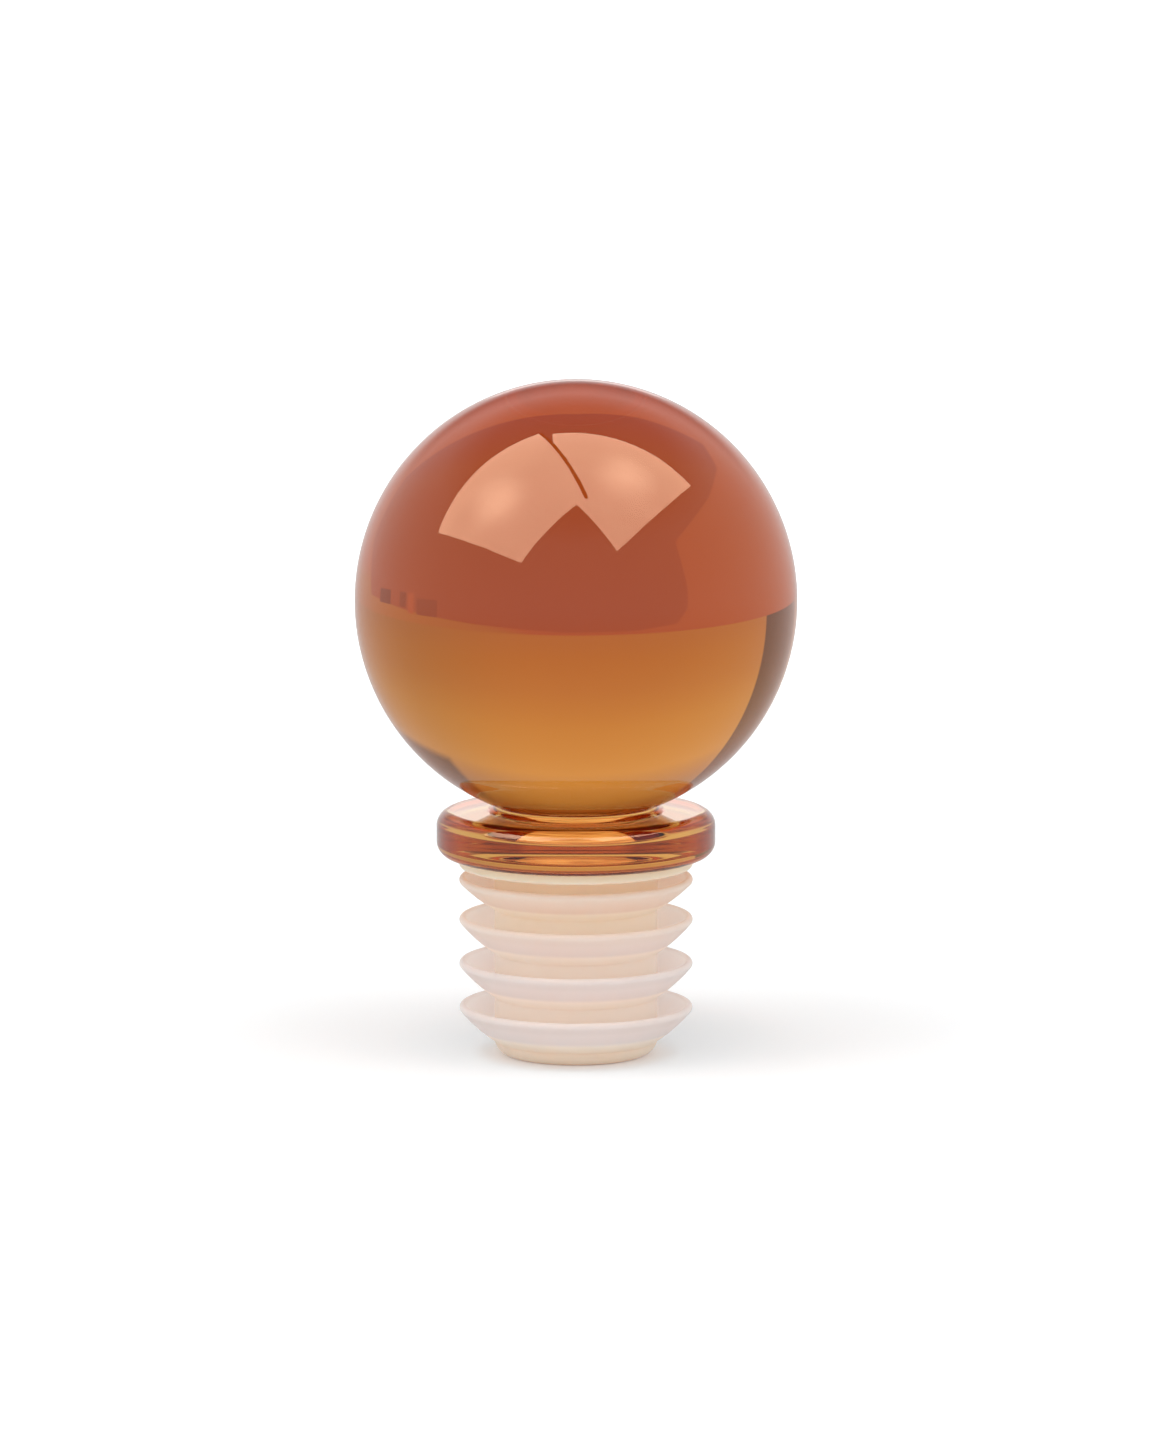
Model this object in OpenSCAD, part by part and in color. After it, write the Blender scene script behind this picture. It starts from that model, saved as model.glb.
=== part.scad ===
// Bottle stopper: a solid glass ball bonded to a flanged glass base, with a ribbed silicone seal
// pushed up over the stem of the base. Millimetres, +Z up, origin at the middle of the foot.
// The seal is one moulding, made here as a sleeve with its collar and fins in modules of their own.

/* [Ball] */
// Diameter of the solid glass ball
ball_d = 40; // [36:1:44]
// Diameter of the flat ground under the ball, where it is bonded to the base
seat_d = 14.6; // [13:0.2:15]

/* [Bond] */
// Thickness of the bond between the ball and the base
bond_t = 0.5; // [0.4:0.1:0.7]
// Radius of the hollow rim of the bond
bond_flare = 1; // [0.8:0.1:1.2]

/* [Glass base] */
// Diameter of the flange that stops on the lip of the bottle
flange_d = 25.3; // [24:0.1:28]
// Thickness of the flange
flange_t = 4.2; // [3.4:0.2:5]
// Radius of the flange's top and bottom edges
flange_round = 1.4; // [0.8:0.1:1.6]
// Diameter of the stem inside the seal
stem_d = 11; // [9:0.5:12]
// Height of the stem's end above the foot of the seal
stem_recess = 0.3; // [0.3:0.1:1]

/* [Silicone seal] */
// Height from the foot up to the underside of the flange
seal_h = 18.2; // [18:0.1:20]
// Diameter of the sleeve between the fins
sleeve_d = 14.8; // [14.4:0.1:15.4]
// Radius of the outer edge of the foot
foot_round = 1.4; // [0.8:0.1:1.5]
// Diameter over the fins
fin_d = 21.2; // [20.4:0.1:21.6]
// Diameter of the collar under the flange
collar_d = 21.2; // [20.8:0.1:22]
// Thickness of the collar
collar_t = 0.9; // [0.8:0.1:1]
// Radial clearance between the stem and the bore of the seal
stem_clearance = 0.05; // [0.02:0.01:0.08]

/* [Fins] */
// Height of the lowest fin's lip above the foot
fin_first = 4.25; // [4:0.05:4.5]
// Distance from one fin to the next
fin_pitch = 4.05; // [4:0.05:4.1]
// Distance from the top fin to the one below it
fin_last_pitch = 3.65; // [3.5:0.05:3.7]
// How far a fin drops from its lip to its root
fin_drop = 3; // [2.8:0.1:3.1]
// How far the top fin drops from its lip to its root
fin_last_drop = 2.6; // [2.4:0.1:2.8]
// Thickness of a fin at its root, measured upright
fin_root_t = 0.8; // [0.7:0.1:1]
// Thickness of a fin at its lip
fin_lip_t = 0.7; // [0.6:0.1:0.8]

/* [Hidden] */

$fn = 128;

AMBER = [0.78, 0.42, 0.12];
HONEY = [0.85, 0.6, 0.25];
MILKY = [0.93, 0.88, 0.84];

// small edges and gaps
bond_rim_t = 0.05;
stem_round = 1;
stem_fillet = 0.4;
bore_lead_in = 0.7;
collar_gap = 0.05;
collar_round = 0.25;
fin_land = 0.03;
fin_belly = 14;

// heights up the stopper
flange_top = seal_h + flange_t;
seat_z = flange_top + bond_t;
ball_r = ball_d / 2;
seat_r = seat_d / 2;
ball_z = seat_z + sqrt(ball_r * ball_r - seat_r * seat_r);
seal_top = seal_h - collar_gap;

// radii of the stem and the seal
stem_r = stem_d / 2;
bore_r = stem_r + stem_clearance;
sleeve_r = sleeve_d / 2;
fin_r = fin_d / 2;
lip_r = fin_lip_t / 2;

// heights of the upper three fins' lips above the foot
fin_second = fin_first + fin_pitch;
fin_third = fin_second + fin_pitch;
fin_last = fin_third + fin_last_pitch;

// centre of the circle of radius ra about a and rb about b that lies to the left of the line from a to b
function circles_meet(a, ra, b, rb) =
    let (
        ab = b - a,
        gap = norm(ab),
        along = (ra * ra - rb * rb + gap * gap) / (2 * gap),
        aside = sqrt(ra * ra - along * along),
        u = ab / gap
    )
    a + along * u + aside * [-u[1], u[0]];

// where the line from p touches the circle of radius r about c, on its left side
function tangent_point(p, c, r) =
    let (
        d = c - p,
        turn = atan2(d[1], d[0]) + asin(r / norm(d))
    )
    c + r * [-sin(turn), cos(turn)];

// half section of a disc with rounded outer edges
module disc_section(r, h, edge) {
    square([r - edge, h]);
    translate([0, edge])
        square([r, h - 2 * edge]);
    for (z = [edge, h - edge])
        translate([r - edge, z])
            circle(edge);
}

// half section of one fin: a thin skirt that opens upwards, with a bellied underside and a round lip
module fin_section(lip_z, drop) {
    lip = [fin_r + fin_land - lip_r, lip_z];
    root = [sleeve_r, lip_z - drop];
    belly = circles_meet(root, fin_belly, lip, fin_belly - lip_r);
    lip_under = belly + fin_belly * (lip - belly) / norm(lip - belly);
    crotch = root + [0, fin_root_t];
    lip_over = tangent_point(crotch, lip, lip_r);
    below = (root + lip_under) / 2 + [1, -1];
    intersection() {
        polygon([root, below, lip_under, lip, lip_over, crotch]);
        translate(belly)
            circle(fin_belly, $fn = 360);
    }
    intersection() {
        translate(lip)
            circle(lip_r, $fn = 48);
        translate([0, lip_z - lip_r])
            square([fin_r, 2 * lip_r]);
    }
}

module sleeve_section() {
    difference() {
        union() {
            translate([0, foot_round])
                square([sleeve_r, seal_top - foot_round]);
            square([sleeve_r - foot_round, seal_top]);
            translate([sleeve_r - foot_round, foot_round])
                circle(foot_round);
        }
        translate([-foot_round, -1])
            square([bore_r + foot_round, seal_top + 2]);
        polygon([
            [bore_r - 1, seal_top + 1],
            [bore_r - 1, seal_top - bore_lead_in - 1],
            [bore_r + bore_lead_in + 1, seal_top + 1]
        ]);
    }
}

module glass_ball() {
    color(AMBER)
        difference() {
            translate([0, 0, ball_z])
                sphere(ball_r);
            translate([-ball_r, -ball_r, seat_z - ball_d])
                cube([ball_d, ball_d, ball_d]);
        }
}

module neck_bond() {
    hollow_z = bond_flare + bond_rim_t;
    rim_r = seat_r + sqrt(pow(bond_flare, 2) - pow(hollow_z - bond_t, 2));
    color(HONEY)
        translate([0, 0, flange_top])
            rotate_extrude()
                difference() {
                    square([rim_r, bond_t]);
                    translate([rim_r, hollow_z])
                        circle(bond_flare);
                }
}

module glass_base() {
    stem_bottom = stem_recess;
    stem_h = seal_h - stem_bottom;
    color(AMBER)
        rotate_extrude() {
            translate([0, seal_h])
                disc_section(flange_d / 2, flange_t, flange_round);
            translate([0, stem_bottom]) {
                square([stem_r - stem_round, stem_h + 1]);
                translate([0, stem_round])
                    square([stem_r, stem_h + 1 - stem_round]);
                translate([stem_r - stem_round, stem_round])
                    circle(stem_round);
            }
            difference() {
                translate([0, seal_h - stem_fillet])
                    square([stem_r + stem_fillet, stem_fillet + 1]);
                translate([stem_r + stem_fillet, seal_h - stem_fillet])
                    circle(stem_fillet);
            }
        }
}

module seal_sleeve() {
    color(MILKY)
        rotate_extrude()
            sleeve_section();
}

module seal_collar() {
    color(MILKY)
        rotate_extrude()
            translate([sleeve_r, seal_top - collar_t])
                disc_section(collar_d / 2 - sleeve_r, collar_t, collar_round);
}

module fin(lip_z, drop) {
    color(MILKY)
        rotate_extrude()
            fin_section(lip_z, drop);
}

module fin_1() {
    fin(fin_first, fin_drop);
}

module fin_2() {
    fin(fin_second, fin_drop);
}

module fin_3() {
    fin(fin_third, fin_drop);
}

module fin_4() {
    fin(fin_last, fin_last_drop);
}

glass_ball();
neck_bond();
glass_base();
seal_sleeve();
seal_collar();
fin_1();
fin_2();
fin_3();
fin_4();
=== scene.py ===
"""Looks for the glass ball bottle stopper: one fused glass topper, its silicone seal, and a pale studio."""

import math
import bmesh
import bpy
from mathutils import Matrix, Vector


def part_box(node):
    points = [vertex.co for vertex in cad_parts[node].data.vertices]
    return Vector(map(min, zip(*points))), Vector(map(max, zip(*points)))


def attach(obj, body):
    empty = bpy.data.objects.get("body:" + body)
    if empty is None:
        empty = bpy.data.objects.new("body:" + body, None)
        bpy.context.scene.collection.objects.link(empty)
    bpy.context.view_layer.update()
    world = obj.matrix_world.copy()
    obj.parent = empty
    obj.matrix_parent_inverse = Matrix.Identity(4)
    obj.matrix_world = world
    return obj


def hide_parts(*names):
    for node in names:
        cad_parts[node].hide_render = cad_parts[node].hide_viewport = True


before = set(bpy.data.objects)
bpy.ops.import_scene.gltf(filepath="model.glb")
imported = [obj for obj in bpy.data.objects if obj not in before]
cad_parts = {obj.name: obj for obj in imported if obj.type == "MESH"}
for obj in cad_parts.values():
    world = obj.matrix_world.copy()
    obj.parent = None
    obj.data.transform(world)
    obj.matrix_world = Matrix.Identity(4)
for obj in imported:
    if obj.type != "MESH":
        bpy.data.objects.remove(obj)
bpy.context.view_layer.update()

MM = 0.001

# ---------------------------------------------------------------- sizes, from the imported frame

ball_low, ball_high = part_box("glass_ball")
base_low, base_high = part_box("glass_base")
seal_low, seal_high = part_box("seal_sleeve")
collar_low, collar_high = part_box("seal_collar")
FIN_NODES = ["fin_1", "fin_2", "fin_3", "fin_4"]


def widest(node, low, high):
    """The largest radius of a CAD node between two heights."""
    found = [v.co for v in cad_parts[node].data.vertices if low <= v.co.z <= high]
    return max(math.hypot(p.x, p.y) for p in found)


HAIR = 0.02 * MM
seat_z = ball_low.z
seat_r = widest("glass_ball", seat_z - HAIR, seat_z + HAIR)
ball_h = ball_high.z - seat_z
ball_r = (ball_h**2 + seat_r**2) / (2 * ball_h)
ball_z = ball_high.z - ball_r
flange_top = base_high.z
bond_rim_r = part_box("neck_bond")[1].x
flange_r = base_high.x

# edges and stem of the glass base
flange_round = 1.4 * MM
flange_t = 4.2 * MM
flange_bottom = flange_top - flange_t
stem_r = widest("glass_base", base_low.z, flange_bottom - 2 * MM)
stem_round = 1.0 * MM
stem_fillet = 0.4 * MM
stem_end = base_low.z

# the seal: its sleeve, collar and fins
seal_top = seal_high.z
seal_foot = seal_low.z
collar_r = collar_high.x
collar_t = collar_high.z - collar_low.z
collar_round = 0.25 * MM
sleeve_r = seal_high.x
stem_clearance = 0.05 * MM
bore_r = stem_r + stem_clearance
bore_lead_in = 0.7 * MM
bore_edge = 0.1 * MM
foot_round = 1.4 * MM
foot_edge = 0.12 * MM
fin_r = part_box("fin_1")[1].x
lip_r = 0.35 * MM
fin_root_t = 0.8 * MM
fin_belly = 14 * MM
root_fillet = 0.22 * MM

GLASS_SIDES = 288
SEAL_SIDES = 240

# ---------------------------------------------------------------- camera

VIEW_ELEVATION = math.radians(8.6)
VIEW_DISTANCE = 0.7
FRAME_HEIGHT = 0.1303
AIM = Vector((0.0, 0.0, 0.0306))
SENSOR_HEIGHT = 36.0


def make_camera():
    """The camera at the photograph's angle, with no shift and no depth of field."""
    data = bpy.data.cameras.new("camera")
    data.sensor_fit = "VERTICAL"
    data.sensor_height = SENSOR_HEIGHT
    data.lens = SENSOR_HEIGHT * VIEW_DISTANCE / FRAME_HEIGHT
    data.clip_start = 0.01
    data.clip_end = 50.0
    camera = bpy.data.objects.new("camera", data)
    back = Vector((0, -math.cos(VIEW_ELEVATION), math.sin(VIEW_ELEVATION)))
    camera.location = AIM + back * VIEW_DISTANCE
    camera.rotation_euler = back.to_track_quat("Z", "Y").to_euler()
    bpy.context.scene.collection.objects.link(camera)
    bpy.context.scene.camera = camera


# ---------------------------------------------------------------- outlines and meshes

# Each outline is a half section of points (radius, height). The last number given to arc, line and fillet
# is how many steps they take.


def arc(centre, radius, start, end, steps):
    """Points of an arc in the half section, angles in degrees from outwards, turning towards up."""
    turn = [math.radians(start + (end - start) * i / steps) for i in range(steps + 1)]
    return [(centre[0] + radius * math.cos(a), centre[1] + radius * math.sin(a)) for a in turn]


def line(a, b, steps):
    """Points between a and b, without its two ends."""
    return [
        (a[0] + (b[0] - a[0]) * i / steps, a[1] + (b[1] - a[1]) * i / steps) for i in range(1, steps)
    ]


def fillet(before, corner, after, radius, steps):
    """Points that round the corner of an outline with an arc."""
    c = Vector(corner)
    u = (Vector(before) - c).normalized()
    v = (Vector(after) - c).normalized()
    half = u.angle(v) / 2
    reach = radius / math.tan(half)
    centre = c + (u + v).normalized() * radius / math.sin(half)
    start = c + u * reach - centre
    end = c + v * reach - centre
    spread = math.pi - 2 * half
    out = []
    for i in range(steps + 1):
        t = i / steps
        p = (start * math.sin((1 - t) * spread) + end * math.sin(t * spread)) / math.sin(spread)
        out.append(tuple(centre + p))
    return out


def lathe(name, outline, sides, closed):
    """A solid of revolution about Z. A closed outline makes a ring, and an open one ends on the axis."""
    on_axis = 1e-9
    turn = [2 * math.pi * i / sides for i in range(sides)]
    mesh = bmesh.new()
    rings = []
    for r, z in outline:
        if r < on_axis:
            rings.append([mesh.verts.new((0, 0, z))])
        else:
            rings.append([mesh.verts.new((r * math.cos(a), r * math.sin(a), z)) for a in turn])
    lowers = rings[1:] + rings[:1] if closed else rings[1:]
    for upper, lower in zip(rings, lowers):
        for i in range(sides):
            j = (i + 1) % sides
            corners = [
                upper[i % len(upper)],
                lower[i % len(lower)],
                lower[j % len(lower)],
                upper[j % len(upper)],
            ]
            mesh.faces.new(list(dict.fromkeys(corners)))
    bmesh.ops.recalc_face_normals(mesh, faces=mesh.faces)
    data = bpy.data.meshes.new(name)
    mesh.to_mesh(data)
    mesh.free()
    data.polygons.foreach_set("use_smooth", [True] * len(data.polygons))
    piece = bpy.data.objects.new(name, data)
    bpy.context.scene.collection.objects.link(piece)
    return piece


def bond_outline():
    """The hollow rim of the bond, from under the ball out on to the flange."""
    rise = seat_z - flange_top
    run = bond_rim_r - seat_r
    flare = (rise**2 + run**2) / (2 * rise)
    steep = math.degrees(math.asin((flare - rise) / flare))
    return arc((bond_rim_r, flange_top + flare), flare, 180 + steep, 270, 14)[1:]


def flange_outline(corner_r):
    """The flange with its rounded edges, from the bond out and back in to the fillet over the stem."""
    edge_r = flange_r - flange_round
    upper_z = flange_top - flange_round
    lower_z = flange_bottom + flange_round
    points = line((bond_rim_r, flange_top), (edge_r, flange_top), 8)
    points += arc((edge_r, upper_z), flange_round, 90, 0, 24)
    points += line((flange_r, upper_z), (flange_r, lower_z), 4)
    points += arc((edge_r, lower_z), flange_round, 0, -90, 24)
    points += line((edge_r, flange_bottom), (corner_r, flange_bottom), 8)
    return points


def stem_outline(corner_r):
    """The stem, from the fillet under the flange down to the middle of its end."""
    top_z = flange_bottom - stem_fillet
    round_z = stem_end + stem_round
    end_r = stem_r - stem_round
    points = arc((corner_r, top_z), stem_fillet, 90, 180, 10)
    points += line((stem_r, top_z), (stem_r, round_z), 12)
    points += arc((end_r, round_z), stem_round, 0, -90, 12)
    points += line((end_r, stem_end), (0, stem_end), 6)
    return points + [(0.0, stem_end)]


def glass_outline():
    """Half section of the ball, the bond, the flange and the stem as one piece of glass."""
    seat_angle = math.degrees(math.asin((seat_z - ball_z) / ball_r))
    corner_r = stem_r + stem_fillet
    points = [(0.0, ball_high.z)]
    points += arc((0, ball_z), ball_r, 90, seat_angle, 150)[1:]
    points += bond_outline()
    points += flange_outline(corner_r)
    points += stem_outline(corner_r)
    return points


def circles_meet(a, ra, b, rb):
    """Where two circles cross, on the left of the line from a to b."""
    gap = (b - a).length
    along = (ra**2 - rb**2 + gap**2) / (2 * gap)
    u = (b - a) / gap
    return a + along * u + math.sqrt(ra**2 - along**2) * Vector((-u.y, u.x))


def angle_of(v):
    return math.degrees(math.atan2(v.y, v.x))


def fin_outline(lip_z, drop):
    """One fin from its crotch on top, round its lip, to its root below."""
    past_fillet = 0.12
    lip = Vector((fin_r - lip_r, lip_z))
    root = Vector((sleeve_r, lip_z - drop))
    belly = circles_meet(root, fin_belly, lip, fin_belly - lip_r)
    crotch = root + Vector((0, fin_root_t))
    d = lip - crotch
    over = angle_of(d) + math.degrees(math.asin(lip_r / d.length)) + 90
    lip_over = lip + lip_r * Vector((math.cos(math.radians(over)), math.sin(math.radians(over))))
    under = angle_of(lip - belly)
    above = (sleeve_r, crotch.y + MM)
    beneath = (sleeve_r, root.y - MM)
    belly_arc = arc(belly, fin_belly, under, angle_of(root - belly), 16)
    points = fillet(above, crotch, lip_over, root_fillet, 6)
    points += line(crotch + d * past_fillet, lip_over, 8)
    points += arc(lip, lip_r, over, under, 18)
    points += belly_arc[1:-2]
    points += fillet(belly_arc[-3], root, beneath, root_fillet, 6)
    return points


def collar_outline():
    """The collar, from the mouth of the bore out and back in to the sleeve."""
    edge_r = collar_r - collar_round
    under_z = seal_top - collar_t
    points = line((bore_r + bore_lead_in, seal_top), (edge_r, seal_top), 6)
    points += arc((edge_r, seal_top - collar_round), collar_round, 90, 0, 8)
    points += arc((edge_r, under_z + collar_round), collar_round, 0, -90, 8)
    points += line((edge_r, under_z), (sleeve_r + root_fillet, under_z), 5)
    points += fillet((edge_r, under_z), (sleeve_r, under_z), (sleeve_r, under_z - MM), root_fillet, 6)
    return points


def seal_outline():
    """Half section of the one-piece seal, from the top of its bore round the outside and back up."""
    bore_foot = (bore_r, seal_foot)
    lead_foot = (bore_r, seal_top - bore_lead_in)
    lead_top = (bore_r + bore_lead_in, seal_top)
    foot_r = sleeve_r - foot_round
    # the lowest fin grows out of the upper part of the foot's round edge, so only the rest of it is drawn
    foot_start = -30
    points = fillet(bore_foot, lead_foot, lead_top, bore_edge, 4)
    points += fillet(lead_foot, lead_top, (collar_r, seal_top), bore_edge, 4)
    points += collar_outline()
    for node in reversed(FIN_NODES):
        low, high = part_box(node)
        lip_z = high.z - lip_r
        points += fin_outline(lip_z, lip_z - low.z)
    points += arc((foot_r, seal_foot + foot_round), foot_round, foot_start, -90, 14)
    points += fillet((foot_r, seal_foot), bore_foot, lead_foot, foot_edge, 5)
    points += line((bore_r, seal_foot + foot_edge), (bore_r, lead_foot[1] - 2 * bore_edge), 14)
    return points


# ---------------------------------------------------------------- nodes


def node_material(name):
    """A material, with its tree and its main shader."""
    mat = bpy.data.materials.new(name)
    mat.use_nodes = True
    tree = mat.node_tree
    return mat, tree, tree.nodes["Principled BSDF"]


def glow_material(name):
    """An emitting material, with its tree and its emission node."""
    mat = bpy.data.materials.new(name)
    mat.use_nodes = True
    tree = mat.node_tree
    tree.nodes.remove(tree.nodes["Principled BSDF"])
    glow = tree.nodes.new("ShaderNodeEmission")
    tree.links.new(glow.outputs[0], tree.nodes["Material Output"].inputs["Surface"])
    return mat, tree, glow


def plain_glow(name, colour, strength):
    """A material that glows the same all over."""
    mat, _, glow = glow_material(name)
    glow.inputs["Color"].default_value = (*colour, 1)
    glow.inputs["Strength"].default_value = strength
    return mat


def object_place(tree):
    """The position on the object, in metres."""
    return tree.nodes.new("ShaderNodeTexCoord").outputs["Object"]


def position(tree, scale):
    """Object position times scale, so that patterns have a real size."""
    mapping = tree.nodes.new("ShaderNodeMapping")
    mapping.inputs["Scale"].default_value = scale if isinstance(scale, tuple) else (scale,) * 3
    tree.links.new(object_place(tree), mapping.inputs["Vector"])
    return mapping.outputs["Vector"]


def noise(tree, vector, scale, detail=3.0):
    """Noise with about this many lumps to the metre."""
    n = tree.nodes.new("ShaderNodeTexNoise")
    n.inputs["Scale"].default_value = scale
    n.inputs["Detail"].default_value = detail
    tree.links.new(vector, n.inputs["Vector"])
    return n.outputs["Fac"]


def ramp(tree, value, stops):
    """A colour ramp; each stop is a place and a colour."""
    r = tree.nodes.new("ShaderNodeValToRGB")
    elements = r.color_ramp.elements
    while len(elements) < len(stops):
        elements.new(0.5)
    for element, (place, colour) in zip(elements, stops):
        element.position = place
        element.color = (*colour, 1)
    tree.links.new(value, r.inputs["Fac"])
    return r.outputs["Color"]


def two_tone(tree, share, first, second):
    """The first colour where the share is 0, and the second where it is 1."""
    return ramp(tree, share, [(0.0, first), (1.0, second)])


def span(tree, value, low, high, to_low=0.0, to_high=1.0, smooth=False):
    """The value's way from low to high, mapped from to_low to to_high and held beyond them."""
    m = tree.nodes.new("ShaderNodeMapRange")
    m.interpolation_type = "SMOOTHSTEP" if smooth else "LINEAR"
    m.inputs["From Min"].default_value = low
    m.inputs["From Max"].default_value = high
    m.inputs["To Min"].default_value = to_low
    m.inputs["To Max"].default_value = to_high
    tree.links.new(value, m.inputs["Value"])
    return m.outputs["Result"]


def math_node(tree, operation, first, second):
    """Two values, each a socket or a float, put together."""
    m = tree.nodes.new("ShaderNodeMath")
    m.operation = operation
    for socket, value in zip(m.inputs, (first, second)):
        if isinstance(value, float):
            socket.default_value = value
        else:
            tree.links.new(value, socket)
    return m.outputs[0]


def blend(tree, how, factor, first, second):
    """Two colours mixed or multiplied."""
    mix = tree.nodes.new("ShaderNodeMix")
    mix.data_type = "RGBA"
    mix.blend_type = how
    mix.inputs["Factor"].default_value = 1.0
    if factor is not None:
        tree.links.new(factor, mix.inputs["Factor"])
    tree.links.new(first, mix.inputs[6])
    tree.links.new(second, mix.inputs[7])
    return mix.outputs[2]


def bump(tree, height, strength, distance):
    """The surface's normal, tilted by a height of up to this distance."""
    b = tree.nodes.new("ShaderNodeBump")
    b.inputs["Strength"].default_value = strength
    b.inputs["Distance"].default_value = distance
    tree.links.new(height, b.inputs["Height"])
    return b.outputs["Normal"]


def parts_of(tree, vector):
    """A vector's three parts."""
    parts = tree.nodes.new("ShaderNodeSeparateXYZ")
    tree.links.new(vector, parts.inputs[0])
    return parts.outputs["X"], parts.outputs["Y"], parts.outputs["Z"]


def radius_from_axis(tree):
    """Distance from the stopper's axis, in metres."""
    flat = tree.nodes.new("ShaderNodeVectorMath")
    flat.operation = "MULTIPLY"
    flat.inputs[1].default_value = (1, 1, 0)
    length = tree.nodes.new("ShaderNodeVectorMath")
    length.operation = "LENGTH"
    tree.links.new(object_place(tree), flat.inputs[0])
    tree.links.new(flat.outputs["Vector"], length.inputs[0])
    return length.outputs["Value"]


def distance_from(tree, point):
    """Distance from a point, in metres."""
    offset = tree.nodes.new("ShaderNodeVectorMath")
    offset.operation = "DISTANCE"
    offset.inputs[1].default_value = point
    tree.links.new(object_place(tree), offset.inputs[0])
    return offset.outputs["Value"]


def heading(tree, source):
    """A direction's three parts, its sine above the horizon last."""
    unit = tree.nodes.new("ShaderNodeVectorMath")
    unit.operation = "NORMALIZE"
    tree.links.new(source, unit.inputs[0])
    return parts_of(tree, unit.outputs["Vector"])


# ---------------------------------------------------------------- glass and silicone

WHITE = (1.0, 1.0, 1.0)
# what light keeps of its colour in the glass, and how fast it loses the rest
AMBER = (0.893, 0.615, 0.12, 1)
AMBER_DENSITY = 100.0
GLASS_IOR = 1.5
# lumps to the metre of the glass's clouds, wiping marks and waves
GLASS_CLOUDS, GLASS_WIPES, GLASS_WAVES = 90, 260, 55
# the same of the silicone's clouds, dull patches and grain
SILICONE_CLOUDS, SILICONE_PATCHES, SILICONE_GRAIN = 240, 700, 2200
SILICONE_IOR = 1.41
RELIEF = 0.02 * MM
# the silicone, lower on the seal: its foot and its sleeve, peach with painted amber light from the stem,
# and a fin underneath with painted shade, inside with painted light, and near its lip with painted shade
FOOT = (1.0, 0.765, 0.62)
SLEEVE = (0.996, 0.845, 0.76)
FIN_UNDER = (0.805, 0.715, 0.685)
FIN_INSIDE = (0.955, 0.95, 0.935)
PAINTED_LIP_SHADE = (0.955, 0.95, 0.945)
# the same near the amber glass, warmer with painted amber light from the glass: two tones of sleeve, the
# lighter one a painted light in the gap under the collar, the top fin, and the collar
UPPER_SLEEVE = (1.0, 0.855, 0.72)
PAINTED_GAP_LIGHT = (1.0, 0.92, 0.82)
TOP_FIN_UNDER = (0.84, 0.665, 0.56)
TOP_FIN_INSIDE = (1.0, 0.975, 0.94)
COLLAR_SHADE = (1.0, 0.95, 0.91)
COLLAR = (1.0, 0.77, 0.575)
# colour of the painted glow in the bore
BORE_GLOW = (1.0, 0.85, 0.55, 1)
# where one tint of the silicone gives way to the next: radii of its parts, then heights above the foot
BORE_WALL = (5.7 * MM, 6.3 * MM)
FIN_ROOT = (7.75 * MM, 8.3 * MM)
FIN_EDGE = (9.8 * MM, 10.3 * MM)
FOOT_TOP = (1.2 * MM, 2.6 * MM)
NEAR_GLASS = (9 * MM, 15 * MM)
GAP_FOOT = (14.5 * MM, 15.8 * MM)
COLLAR_FOOT = (16.5 * MM, 17.1 * MM)
# how far light spreads in the silicone, lower down and at the top
SPREAD_HEIGHTS = (12 * MM, 16.5 * MM)
SPREAD = (1.5 * MM, 2.2 * MM)


def amber_glass():
    """Clear amber glass: deeper in colour where it is thicker, with a faintly hazy and wavy surface."""
    mat, tree, shader = node_material("amber_glass")
    shader.inputs["Transmission Weight"].default_value = 1.0
    shader.inputs["IOR"].default_value = GLASS_IOR
    vector = position(tree, 1.0)
    clouds = noise(tree, vector, GLASS_CLOUDS)
    tint = ramp(tree, clouds, [(0.3, (0.96, 0.93, 0.89)), (0.7, (1.0, 0.99, 0.97))])
    tree.links.new(tint, shader.inputs["Base Color"])
    wipes = noise(tree, position(tree, (1.0, 1.0, 0.35)), GLASS_WIPES, 4)
    tree.links.new(span(tree, wipes, 0.35, 0.75, 0.0, 0.03), shader.inputs["Roughness"])
    waves = noise(tree, vector, GLASS_WAVES, 2)
    tree.links.new(bump(tree, waves, 0.06, RELIEF), shader.inputs["Normal"])
    body = tree.nodes.new("ShaderNodeVolumeAbsorption")
    body.inputs["Color"].default_value = AMBER
    body.inputs["Density"].default_value = AMBER_DENSITY
    tree.links.new(body.outputs["Volume"], tree.nodes["Material Output"].inputs["Volume"])
    return mat


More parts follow.
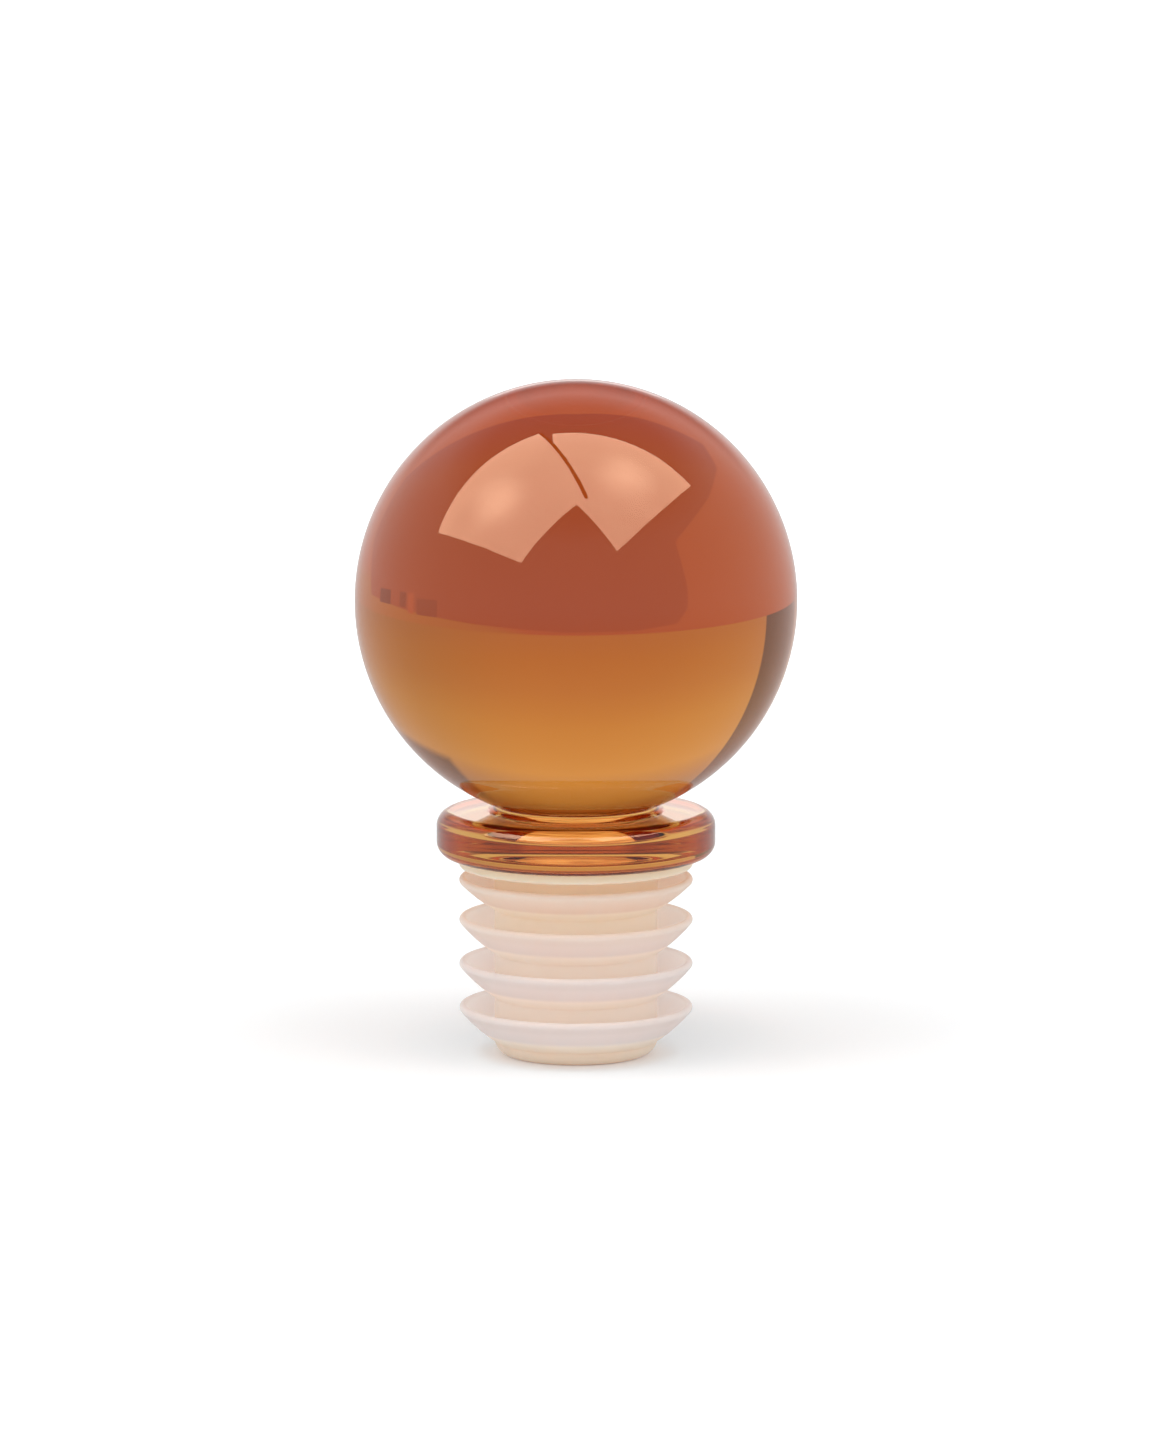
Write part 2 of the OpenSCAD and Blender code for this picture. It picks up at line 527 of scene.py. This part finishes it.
def silicone_tint(tree, radius, height, upness):
    """Pale on the thin fins, with painted shade underneath and at the lips and painted light inside, peach
    on the sleeve with painted amber light from the stem, and warmer near the amber glass with painted amber
    light from it.
    """
    lean = math_node(tree, "MULTIPLY", upness, 0.9 * MM)
    on_fin = span(tree, math_node(tree, "ADD", radius, lean), *FIN_ROOT, smooth=True)
    within_lip = span(tree, radius, *FIN_EDGE, 1.0, 0.0, smooth=True)
    inside = math_node(tree, "MULTIPLY", span(tree, upness, 0.1, 0.6, smooth=True), within_lip)
    above_foot = span(tree, height, *FOOT_TOP, smooth=True)
    # painted shade underneath the fin and painted light on its inside
    fin = two_tone(tree, inside, FIN_UNDER, FIN_INSIDE)
    # painted shade at the fin's lip
    fin = blend(tree, "MULTIPLY", None, fin, two_tone(tree, within_lip, PAINTED_LIP_SHADE, WHITE))
    # foot and sleeve peach: painted amber light from the stem
    lower = blend(tree, "MIX", on_fin, two_tone(tree, above_foot, FOOT, SLEEVE), fin)
    in_gap = span(tree, height, *GAP_FOOT, smooth=True)
    on_collar = span(tree, height, *COLLAR_FOOT)
    top_fin = two_tone(tree, inside, TOP_FIN_UNDER, TOP_FIN_INSIDE)
    outer = blend(tree, "MIX", on_collar, top_fin, two_tone(tree, on_collar, COLLAR_SHADE, COLLAR))
    # painted light in the gap under the collar, warm with painted amber light from the glass
    upper = blend(tree, "MIX", on_fin, two_tone(tree, in_gap, UPPER_SLEEVE, PAINTED_GAP_LIGHT), outer)
    # painted amber light near the glass
    return blend(tree, "MIX", span(tree, height, *NEAR_GLASS, smooth=True), lower, upper)


def bore_glow(tree, radius):
    """Strength of the streaky glow in the bore, which stands in for light that the thin silicone lets in.
    Only rays that come through the glass see it."""
    path = tree.nodes.new("ShaderNodeLightPath")
    in_bore = span(tree, radius, *BORE_WALL, 0.7, 0.0, smooth=True)
    streaks = span(tree, noise(tree, position(tree, (1.0, 1.0, 7.0)), 330), 0.42, 0.58, 0.22, 1.0)
    behind_glass = math_node(tree, "MULTIPLY", in_bore, path.outputs["Is Transmission Ray"])
    return math_node(tree, "MULTIPLY", behind_glass, streaks)


def milky_silicone():
    """Milky, soft, matte silicone that scatters light within its skin, with painted light and shade in its
    colour and a painted glow in its bore.
    """
    mat, tree, shader = node_material("milky_silicone")
    vector = position(tree, 1.0)
    place = tree.nodes.new("ShaderNodeTexCoord")
    radius = radius_from_axis(tree)
    upness = parts_of(tree, place.outputs["Normal"])[2]
    height = parts_of(tree, place.outputs["Object"])[2]
    cloud = ramp(tree, noise(tree, vector, SILICONE_CLOUDS), [(0.3, (1.0, 0.985, 0.975)), (0.7, WHITE)])
    # the colour carries painted light and shade
    tint = silicone_tint(tree, radius, height, upness)
    tree.links.new(blend(tree, "MULTIPLY", None, tint, cloud), shader.inputs["Base Color"])
    depth = span(tree, height, *SPREAD_HEIGHTS, *SPREAD)
    shader.inputs["Subsurface Weight"].default_value = 1.0
    shader.inputs["Subsurface Radius"].default_value = (0.85, 0.8, 0.78)
    tree.links.new(depth, shader.inputs["Subsurface Scale"])
    # painted glow in the bore, seen only through the glass
    shader.inputs["Emission Color"].default_value = BORE_GLOW
    tree.links.new(bore_glow(tree, radius), shader.inputs["Emission Strength"])
    shader.inputs["IOR"].default_value = SILICONE_IOR
    shader.inputs["Specular IOR Level"].default_value = 0.3
    matte = span(tree, noise(tree, vector, SILICONE_PATCHES, 2), 0.3, 0.7, 0.48, 0.62)
    tree.links.new(matte, shader.inputs["Roughness"])
    grain = noise(tree, vector, SILICONE_GRAIN, 3)
    tree.links.new(bump(tree, grain, 0.25, RELIEF), shader.inputs["Normal"])
    return mat


# ---------------------------------------------------------------- the stopper


def dress(piece, mat, body, slot, *nodes):
    """Gives a piece its material and its body, and hides the CAD nodes that it stands for. The slot is not
    used.
    """
    piece.data.materials.append(mat)
    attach(piece, body)
    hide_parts(*nodes)


def build_stopper():
    topper = lathe("glass_topper", glass_outline(), GLASS_SIDES, closed=False)
    dress(topper, amber_glass(), "topper", "amber_glass", "glass_ball", "neck_bond", "glass_base")
    seal = lathe("ribbed_seal", seal_outline(), SEAL_SIDES, closed=True)
    dress(seal, milky_silicone(), "seal", "silicone", "seal_sleeve", "seal_collar", *FIN_NODES)


# ---------------------------------------------------------------- the studio floor and what the glass shows


def seen_only(piece, ray):
    """Keeps a stage piece for glossy rays, if it is mirrored, or for transmission, if it shows through."""
    piece.visible_camera = False
    piece.visible_diffuse = False
    piece.visible_shadow = False
    piece.visible_volume_scatter = False
    piece.visible_glossy = ray == "glossy"
    piece.visible_transmission = ray == "transmission"


def sheet(name, corners):
    """A flat piece with these corners."""
    data = bpy.data.meshes.new(name)
    data.from_pydata(corners, [], [tuple(range(len(corners)))])
    piece = bpy.data.objects.new(name, data)
    bpy.context.scene.collection.objects.link(piece)
    return piece


def toward(azimuth, elevation, distance):
    """A place round the ball. Azimuth 0 is in front of the stopper and plus is to the right, in degrees."""
    a, e = math.radians(azimuth), math.radians(elevation)
    out = Vector((math.sin(a) * math.cos(e), -math.cos(a) * math.cos(e), math.sin(e)))
    return Vector((0, 0, ball_z)) + out * distance


def sine(degrees):
    return math.sin(math.radians(degrees))


FLOOR_COLOUR = (0.81, 0.885, 0.93, 1)
FLOOR_GLOW = (1.0, 0.95, 0.94, 1)
# strength of the floor's glow close to the stopper and far from it, and the distances that stand for these
FLOOR_LIFT = (0.235, 0.9)
FLOOR_REACH = (0.05, 0.4)
# share of that glow which lights the stopper
FLOOR_BOUNCE = 0.25
# a painted shadow that dims the floor's glow: its darkest part, where the foot stands, how far it reaches,
# and its depth
PAINTED_SHADOW_MIDDLE = (2 * MM, 6 * MM, 0)
PAINTED_SHADOW_REACH = (8 * MM, 27 * MM)
PAINTED_SHADOW_DEPTH = 0.125


def make_floor():
    """A pale floor that is white to the camera but for a soft shadow, partly cast by the soft lights and
    partly painted round the foot, and lights the stopper from below.
    """
    reach = 6.0
    floor = sheet("floor", [(-reach, -reach, 0), (reach, -reach, 0), (reach, reach, 0), (-reach, reach, 0)])
    mat, tree, shader = node_material("pale_floor")
    shader.inputs["Base Color"].default_value = FLOOR_COLOUR
    shader.inputs["Roughness"].default_value = 0.9
    shader.inputs["Specular IOR Level"].default_value = 0.1
    shader.inputs["Emission Color"].default_value = FLOOR_GLOW
    path = tree.nodes.new("ShaderNodeLightPath")
    fade = span(tree, radius_from_axis(tree), *FLOOR_REACH, *FLOOR_LIFT, smooth=True)
    # painted shadow round the foot, dimming the glow
    off_middle = distance_from(tree, PAINTED_SHADOW_MIDDLE)
    painted_shadow = span(tree, off_middle, *PAINTED_SHADOW_REACH, PAINTED_SHADOW_DEPTH, 0.0, smooth=True)
    share = span(tree, path.outputs["Is Camera Ray"], 0.0, 1.0, FLOOR_BOUNCE, 1.0)
    lift = math_node(tree, "MULTIPLY", share, math_node(tree, "SUBTRACT", fade, painted_shadow))
    tree.links.new(lift, shader.inputs["Emission Strength"])
    floor.data.materials.append(mat)
    floor.visible_transmission = False
    floor.visible_glossy = False


# azimuths from straight behind, plus to the right, and elevations of the room's dark parts, in degrees
FLAG_LEFT = (-80, -74)
FLAG_RIGHT = (-47.6, -46.6)
FLAG_FOOT = (-4.8, -4.2)
CORNER_LEFT = (35.5, 41)
CORNER_FOOT = (31.5, 36.5)
RIGHT_SIDE = (5, 40)
# brightness of the room to rays on their way to the silicone, and to rays reflected inside the glass
ROOM_TO_SILICONE = 1.8
ROOM_TO_GLASS = 0.9


def across_azimuths(tree, turn, degrees, to_low, to_high):
    """A soft change of brightness between two azimuths."""
    return span(tree, turn, *[math.radians(d) for d in degrees], to_low, to_high, smooth=True)


def room_shade(tree, turn, rise):
    """Brightness of the room by direction: a dark flag on the left and a dark corner high on the right."""
    flag_sides = math_node(
        tree,
        "MAXIMUM",
        across_azimuths(tree, turn, FLAG_RIGHT, 0.0, 1.0),
        across_azimuths(tree, turn, FLAG_LEFT, 1.0, 0.0),
    )
    flag_foot = span(tree, rise, *[sine(d) for d in FLAG_FOOT], 1.0, 0.0)
    flag = math_node(tree, "MAXIMUM", flag_sides, flag_foot)
    corner_left = across_azimuths(tree, turn, CORNER_LEFT, 1.0, 0.0)
    corner_foot = span(tree, rise, *[sine(d) for d in CORNER_FOOT], 1.0, 0.0, smooth=True)
    clear = math_node(tree, "MINIMUM", flag, math_node(tree, "MAXIMUM", corner_left, corner_foot))
    side = across_azimuths(tree, turn, RIGHT_SIDE, 1.0, 0.8)
    return math_node(tree, "MULTIPLY", span(tree, clear, 0.0, 1.0, 0.25, 1.0), side)


# the backdrop and ceiling of the room, from just under the horizon to straight up
SKY = [
    (0.15, (0.70, 0.54, 0.34)),
    (0.20, (0.74, 0.60, 0.38)),
    (0.29, (0.79, 0.69, 0.52)),
    (0.41, (0.90, 0.885, 0.62)),
    (0.60, (1.0, 1.02, 0.73)),
    (0.69, (0.80, 0.78, 0.70)),
    (0.78, (0.60, 0.58, 0.46)),
    (0.88, (0.18, 0.13, 0.10)),
    (0.93, (0.20, 0.15, 0.11)),
    (0.97, (1.0, 0.85, 0.7)),
]


def make_room():
    """The room as it shows through the glass: a pale backdrop, a dark ceiling, a dark flag and a corner.
    Light that goes on to the silicone comes from a paler, brighter room, and rays that the glass reflects
    inside itself meet nothing dark."""
    reach = 2.5
    outline = arc((0, 0), reach, 90, -12, 48)
    outline[0] = (0.0, reach)
    room = lathe("room", outline, 96, closed=False)
    room.location = (0, 0, ball_z)
    mat, tree, glow = glow_material("room")
    across, along, rise = heading(tree, object_place(tree))
    height = span(tree, rise, -0.2, 1.0)
    dim = room_shade(tree, math_node(tree, "ARCTAN2", across, along), rise)
    path = tree.nodes.new("ShaderNodeLightPath")
    to_silicone = span(tree, path.outputs["Diffuse Depth"], 0.0, 1.0)
    in_glass = span(tree, path.outputs["Glossy Depth"], 0.0, 1.0, 0.0, ROOM_TO_GLASS)
    lamp = math_node(tree, "MULTIPLY", to_silicone, ROOM_TO_SILICONE)
    lamp = math_node(tree, "MAXIMUM", lamp, in_glass)
    pale = two_tone(tree, height, (1.0, 0.92, 0.84), (1.0, 0.94, 0.88))
    colour = blend(tree, "MIX", to_silicone, ramp(tree, height, SKY), pale)
    tree.links.new(colour, glow.inputs["Color"])
    tree.links.new(math_node(tree, "MAXIMUM", dim, lamp), glow.inputs["Strength"])
    room.data.materials.append(mat)
    seen_only(room, "transmission")


def warm_surface(tree, stops):
    """Colours of a surface out to 0.2 m from the stopper, warm where amber light falls close to it."""
    return ramp(tree, span(tree, radius_from_axis(tree), 0.0, 0.2), stops)


def make_table():
    """The table top as it shows through the glass, with more gold in it far away on the right."""
    reach = 1.2
    lift = 0.1 * MM
    plain = (0.645, 0.31, 0.28)
    turns = [math.radians(7.5 * i) for i in range(48)]
    table = sheet("table", [(reach * math.cos(a), reach * math.sin(a), lift) for a in turns])
    mat, tree, glow = glow_material("table")
    warm = warm_surface(tree, [(0.15, (0.74, 0.19, 0.06)), (0.3, (0.68, 0.29, 0.18)), (0.5, plain)])
    right = span(tree, parts_of(tree, object_place(tree))[0], 0.12, 0.25, smooth=True)
    far = span(tree, radius_from_axis(tree), 0.1, 0.25, smooth=True)
    pale = two_tone(tree, right, plain, (0.62, 0.42, 0.28))
    tree.links.new(blend(tree, "MIX", far, warm, pale), glow.inputs["Color"])
    table.data.materials.append(mat)
    seen_only(table, "transmission")


def make_dark_patch():
    """A darker patch on the table, round the stopper and behind it, with a lobe on its right."""
    lift = 0.2 * MM
    left = [(-0.205, 0.65), (-0.13, 0.375), (-0.08, 0.24), (-0.038, 0.138), (-0.038, 0.085), (-0.035, 0.06)]
    near = [(-0.028, 0.049), (-0.012, 0.05), (0.0, 0.053), (0.017, 0.051), (0.047, 0.047), (0.1, 0.067)]
    right = [(0.17, 0.119), (0.327, 0.228), (0.32, 0.427), (0.224, 0.677), (0.03, 0.933), (-0.16, 0.89)]
    dark_patch = sheet("mat", [(x, y, lift) for x, y in left + near + right])
    mat, tree, glow = glow_material("mat")
    warm = warm_surface(
        tree, [(0.27, (0.52, 0.145, 0.06)), (0.38, (0.55, 0.23, 0.14)), (0.6, (0.54, 0.24, 0.22))]
    )
    tree.links.new(warm, glow.inputs["Color"])
    dark_patch.data.materials.append(mat)
    seen_only(dark_patch, "transmission")


def make_things():
    """A few small things that stand on the far side of the table."""
    away = 0.3
    colour = (0.56, 0.25, 0.22)
    # azimuth from straight behind, width, height and elevation of the foot in degrees, and brightness
    things = [(44.5, 6, 13, -18, 0.6), (36, 2.5, 4, -9, 0.74), (28, 6, 3, -7, 0.8), (33, 2, 5, -9, 1.15)]
    for i, (azimuth, width, height, foot, bright) in enumerate(things):
        one, other, top = 180 - azimuth - width / 2, 180 - azimuth + width / 2, foot + height
        corners = [(one, foot), (other, foot), (other, top), (one, top)]
        thing = sheet(f"thing_{i}", [toward(a, e, away) for a, e in corners])
        thing.data.materials.append(plain_glow(f"thing_{i}", colour, bright))
        seen_only(thing, "transmission")


# ---------------------------------------------------------------- what is mirrored in the glass

BOX_COLOUR = (1.0, 0.68, 0.47, 1)
BOX_STRENGTH = 7.6
# brightness in a box's bright spot and away from it, and where that fades, in parts of the box's distance
BOX_SPOT = (1.85, 1.1)
SPOT_REACH = (0.02, 0.27)
# the rim's width at the top and at the foot, in parts of the way out from the middle of the box
RIM_TOP, RIM_FOOT = 0.049, 0.091
RIM_PAST_FOOT = 0.01


def soft_box(name, corners, distance, bright):
    """A soft box mirrored in the glass, by the azimuths and elevations of its corners and bright spot."""
    box = sheet(name, [toward(a, e, distance) for a, e in corners])
    mat, tree, glow = glow_material(name)
    offset = distance_from(tree, toward(*bright, distance * 0.9))
    spot = span(tree, offset, *[r * distance for r in SPOT_REACH], *BOX_SPOT, smooth=True)
    wave = span(tree, noise(tree, position(tree, (3.0, 9.0, 3.0)), 1.0), 0.3, 0.7, 0.93, 1.07)
    glow.inputs["Color"].default_value = BOX_COLOUR
    strength = math_node(tree, "MULTIPLY", math_node(tree, "MULTIPLY", spot, wave), BOX_STRENGTH)
    tree.links.new(strength, glow.inputs["Strength"])
    box.data.materials.append(mat)
    seen_only(box, "glossy")


def box_rim(corners, distance):
    """The left box's dark rim, along its right edge and a little past its foot."""
    places = [toward(a, e, distance) for a, e in corners]
    top, foot = places[:2]
    along = (foot - top).normalized()
    middle = sum(places, Vector()) / 4
    out = top - middle - along * (top - middle).dot(along)
    foot_corner = foot + out * RIM_FOOT + along * RIM_PAST_FOOT
    rim = sheet("left_rim", [top, foot, foot_corner, top + out * RIM_TOP])
    rim.data.materials.append(plain_glow("left_rim", (1.0, 0.6, 0.4), 0.3))
    seen_only(rim, "glossy")


def back_card():
    """A bright card low down behind the stopper, mirrored in the flat top of the flange."""
    corners = [(173, 6.5), (187, 6.5), (187, 11), (173, 11)]
    card = sheet("back_card", [toward(a, e, 1.5) for a, e in corners])
    card.data.materials.append(plain_glow("back_card", (1.0, 0.96, 0.94), 1.45))
    seen_only(card, "glossy")


def make_soft_boxes():
    left_corners = [(-141, 70), (8, 60.5), (-30.5, 25), (-88.5, 26.5)]
    right_corners = [(-150, 74), (100, 44), (24, 31.5), (-22, 66)]
    soft_box("left_box", left_corners, 0.60, (-63, 51))
    soft_box("right_box", right_corners, 0.80, (60, 66))
    box_rim(left_corners, 0.60)
    back_card()


# the wall as it is mirrored, from below the horizon to high up
WALL = [
    (0.0, (0.62, 0.58, 0.56)),
    (0.3, (0.86, 0.84, 0.83)),
    (0.7, (0.80, 0.76, 0.74)),
    (0.85, (0.48, 0.45, 0.44)),
]
# strength of the soft light on the stopper, from the horizon to straight up
LIGHT = [(0.0, 1.167), (0.14, 0.945), (0.3, 0.845), (0.7, 0.775), (1.0, 0.26)]


def mirrored_wall(tree, along, rise):
    """The wall for glossy rays, a little darker high up behind the stopper."""
    mirrored = tree.nodes.new("ShaderNodeBackground")
    tree.links.new(ramp(tree, span(tree, rise, -0.4, 1.0), WALL), mirrored.inputs["Color"])
    behind = span(tree, along, 0.78, 0.95, smooth=True)
    above = span(tree, rise, 0.15, 0.35, 0.0, 0.75, smooth=True)
    darker = math_node(tree, "MULTIPLY", behind, above)
    tree.links.new(math_node(tree, "SUBTRACT", 1.1, darker), mirrored.inputs["Strength"])
    return mirrored


def make_world():
    """White to the camera, even soft light for the stopper, and a dimmer room where it is mirrored."""
    world = bpy.data.worlds.new("studio")
    bpy.context.scene.world = world
    world.use_nodes = True
    tree = world.node_tree
    coordinates = tree.nodes.new("ShaderNodeTexCoord")
    _, along, rise = heading(tree, coordinates.outputs["Generated"])
    mirrored = mirrored_wall(tree, along, rise)
    path = tree.nodes.new("ShaderNodeLightPath")
    plain = tree.nodes["Background"]
    plain.inputs["Color"].default_value = (*WHITE, 1)
    light = ramp(tree, span(tree, rise, 0.0, 1.0), [(place, (strength,) * 3) for place, strength in LIGHT])
    shown = math_node(tree, "MULTIPLY", path.outputs["Is Camera Ray"], 1.02)
    tree.links.new(math_node(tree, "MAXIMUM", light, shown), plain.inputs["Strength"])
    pick = tree.nodes.new("ShaderNodeMixShader")
    tree.links.new(path.outputs["Is Glossy Ray"], pick.inputs[0])
    tree.links.new(plain.outputs[0], pick.inputs[1])
    tree.links.new(mirrored.outputs[0], pick.inputs[2])
    tree.links.new(pick.outputs[0], tree.nodes["World Output"].inputs["Surface"])


SOFT_LIGHT_SIZE = 0.42
SOFT_LIGHT_WATTS = 2.0
SOFT_LIGHT_COLOUR = (1.0, 0.95, 0.9)


def soft_light(name, place):
    """A soft light from above that gives the stopper its shadow. The glass doesn't show it."""
    data = bpy.data.lights.new(name, "AREA")
    data.shape = "SQUARE"
    data.size = SOFT_LIGHT_SIZE
    data.energy = SOFT_LIGHT_WATTS
    data.color = SOFT_LIGHT_COLOUR
    light = bpy.data.objects.new(name, data)
    light.location = place
    light.rotation_euler = (Vector(place) - AIM).to_track_quat("Z", "Y").to_euler()
    bpy.context.scene.collection.objects.link(light)
    light.visible_glossy = False
    light.visible_camera = False
    light.visible_transmission = False


def make_studio():
    make_floor()
    make_room()
    make_table()
    make_dark_patch()
    make_things()
    make_world()
    make_soft_boxes()
    soft_light("left_light", (-0.35, -0.25, 0.95))
    soft_light("right_light", (0.25, -0.25, 0.95))


def finish_settings():
    """Enough bounces for light that is caught in the flange and in the silicone."""
    scene = bpy.context.scene
    scene.view_settings.view_transform = "Standard"
    scene.cycles.caustics_reflective = False
    scene.cycles.caustics_refractive = True
    scene.cycles.max_bounces = 40
    scene.cycles.diffuse_bounces = 16
    scene.cycles.transmission_bounces = 32
    scene.cycles.glossy_bounces = 32
    scene.cycles.use_denoising = True


make_camera()
build_stopper()
make_studio()
finish_settings()
